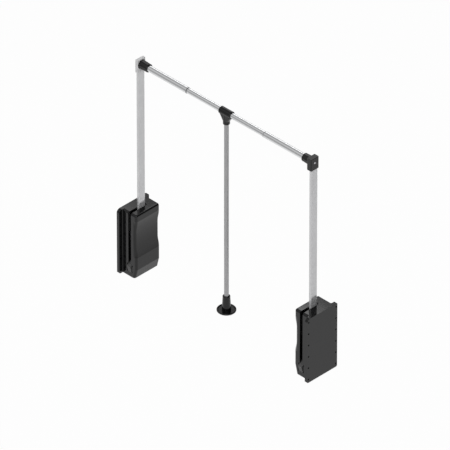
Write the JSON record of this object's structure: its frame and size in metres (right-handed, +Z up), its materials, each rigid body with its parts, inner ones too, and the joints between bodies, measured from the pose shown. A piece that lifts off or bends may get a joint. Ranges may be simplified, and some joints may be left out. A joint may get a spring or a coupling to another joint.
{
  "type": "pull down closet rod",
  "caption": "Wardrobe lift: a telescoping clothes rod on two sprung side arms that swing down out of wall housings, with a pull pole.",
  "frame": {"origin": "bottom centre of the whole lift at rest: midway between the wall planes, mid-depth of the wall plates, at the housings' underside", "axes": "+X along the rod to the right wall, +Y from the room towards the wardrobe's back, +Z up"},
  "size_m": [0.891, 0.14, 0.853],
  "materials": {
    "black_case": "satin moulded plastic",
    "black_cover": "glossy moulded plastic",
    "silver_arm": "silver powder coat",
    "black_fitting": "satin moulded plastic",
    "silver_fitting": "satin silver plastic",
    "chrome_tube": "polished chrome",
    "steel_pole": "satin grey",
    "steel": "plain steel",
    "spring_steel": "oiled spring steel",
    "damper_metal": "satin black paint",
    "white_nylon": "natural nylon",
    "grey_ring": "matt dark grey",
    "stop_rubber": "matt rubber"
  },
  "bodies": {
    "left_case": {"wall_case_left": "black_case", "cover_left": "black_cover", "arm_stop_left": "stop_rubber", "upright_buffer_left": "stop_rubber", "shaft_bushes_left": "white_nylon", "lift_spring_left": "spring_steel", "spring_guide_left": "white_nylon", "damper_cylinder_left": "damper_metal"},
    "left_frame": {"arm_left": "silver_arm", "arm_hub_left": "steel", "pivot_shaft_left": "steel", "shaft_clip_left": "spring_steel", "drive_gear_left": "steel", "bracket_left": "silver_fitting", "rod_socket_left": "black_fitting", "socket_screw_left": "steel", "outer_tube_left": "chrome_tube", "tube_ring_left": "grey_ring"},
    "left_spring_slide": {"spring_rack_left": "steel"},
    "left_damper_slide": {"damper_rack_left": "steel", "damper_rod_left": "steel"},
    "right_case": {"wall_case_right": "black_case", "cover_right": "black_cover", "arm_stop_right": "stop_rubber", "upright_buffer_right": "stop_rubber", "shaft_bushes_right": "white_nylon", "lift_spring_right": "spring_steel", "spring_guide_right": "white_nylon", "damper_cylinder_right": "damper_metal"},
    "right_frame": {"arm_right": "silver_arm", "arm_hub_right": "steel", "pivot_shaft_right": "steel", "shaft_clip_right": "spring_steel", "drive_gear_right": "steel", "bracket_right": "black_fitting", "rod_socket_right": "black_fitting", "socket_screw_right": "steel", "outer_tube_right": "chrome_tube", "tube_ring_right": "grey_ring"},
    "right_spring_slide": {"spring_rack_right": "steel"},
    "right_damper_slide": {"damper_rack_right": "steel", "damper_rod_right": "steel"},
    "centre_rod": {"centre_tube": "chrome_tube"},
    "pull_pole_set": {"t_connector": "black_fitting", "t_screws": "steel", "pull_pole": "steel_pole", "pull_grip": "black_fitting"}
  },
  "joints": [
    {"name": "arm_swing", "type": "hinge", "parent": "left_case", "child": "left_frame", "pos_m": [-0.401, 0, 0.103], "axis": [1, 0, 0], "range_deg": [0, 125], "stiffness_Nm_per_rad": 9, "springref_deg": -20.05},
    {"name": "left_telescope", "type": "slide", "parent": "left_frame", "child": "centre_rod", "axis": [1, 0, 0], "range_m": [-0.027, 0.132]},
    {"name": "pole_swivel", "type": "hinge", "parent": "centre_rod", "child": "pull_pole_set", "pos_m": [0, 0, 0.833], "axis": [1, 0, 0], "range_deg": [-170, 60]},
    {"name": "right_telescope", "type": "slide", "parent": "centre_rod", "child": "right_frame", "axis": [1, 0, 0], "range_m": [-0.027, 0.132]},
    {"name": "right_case_turn", "type": "hinge", "parent": "right_frame", "child": "right_case", "pos_m": [0.401, 0, 0.103], "axis": [1, 0, 0], "range_deg": [-125, 0]},
    {"name": "left_spring_rack_slide", "type": "slide", "parent": "left_case", "child": "left_spring_slide", "axis": [0, 0, 1], "range_m": [0, 0.0524], "deforming": ["lift_spring_left"]},
    {"name": "left_damper_rack_slide", "type": "slide", "parent": "left_case", "child": "left_damper_slide", "axis": [0, 0, -1], "range_m": [0, 0.0524]},
    {"name": "right_spring_rack_slide", "type": "slide", "parent": "right_case", "child": "right_spring_slide", "axis": [0, 0, 1], "range_m": [0, 0.0524], "deforming": ["lift_spring_right"]},
    {"name": "right_damper_rack_slide", "type": "slide", "parent": "right_case", "child": "right_damper_slide", "axis": [0, 0, -1], "range_m": [0, 0.0524]}
  ],
  "couplings": [
    {"joint": "right_case_turn", "follows": "arm_swing", "ratio": -1},
    {"joint": "left_spring_rack_slide", "follows": "arm_swing", "m_per_rad": 0.024},
    {"joint": "left_damper_rack_slide", "follows": "arm_swing", "m_per_rad": 0.024},
    {"joint": "right_spring_rack_slide", "follows": "arm_swing", "m_per_rad": 0.024},
    {"joint": "right_damper_rack_slide", "follows": "arm_swing", "m_per_rad": 0.024}
  ]
}
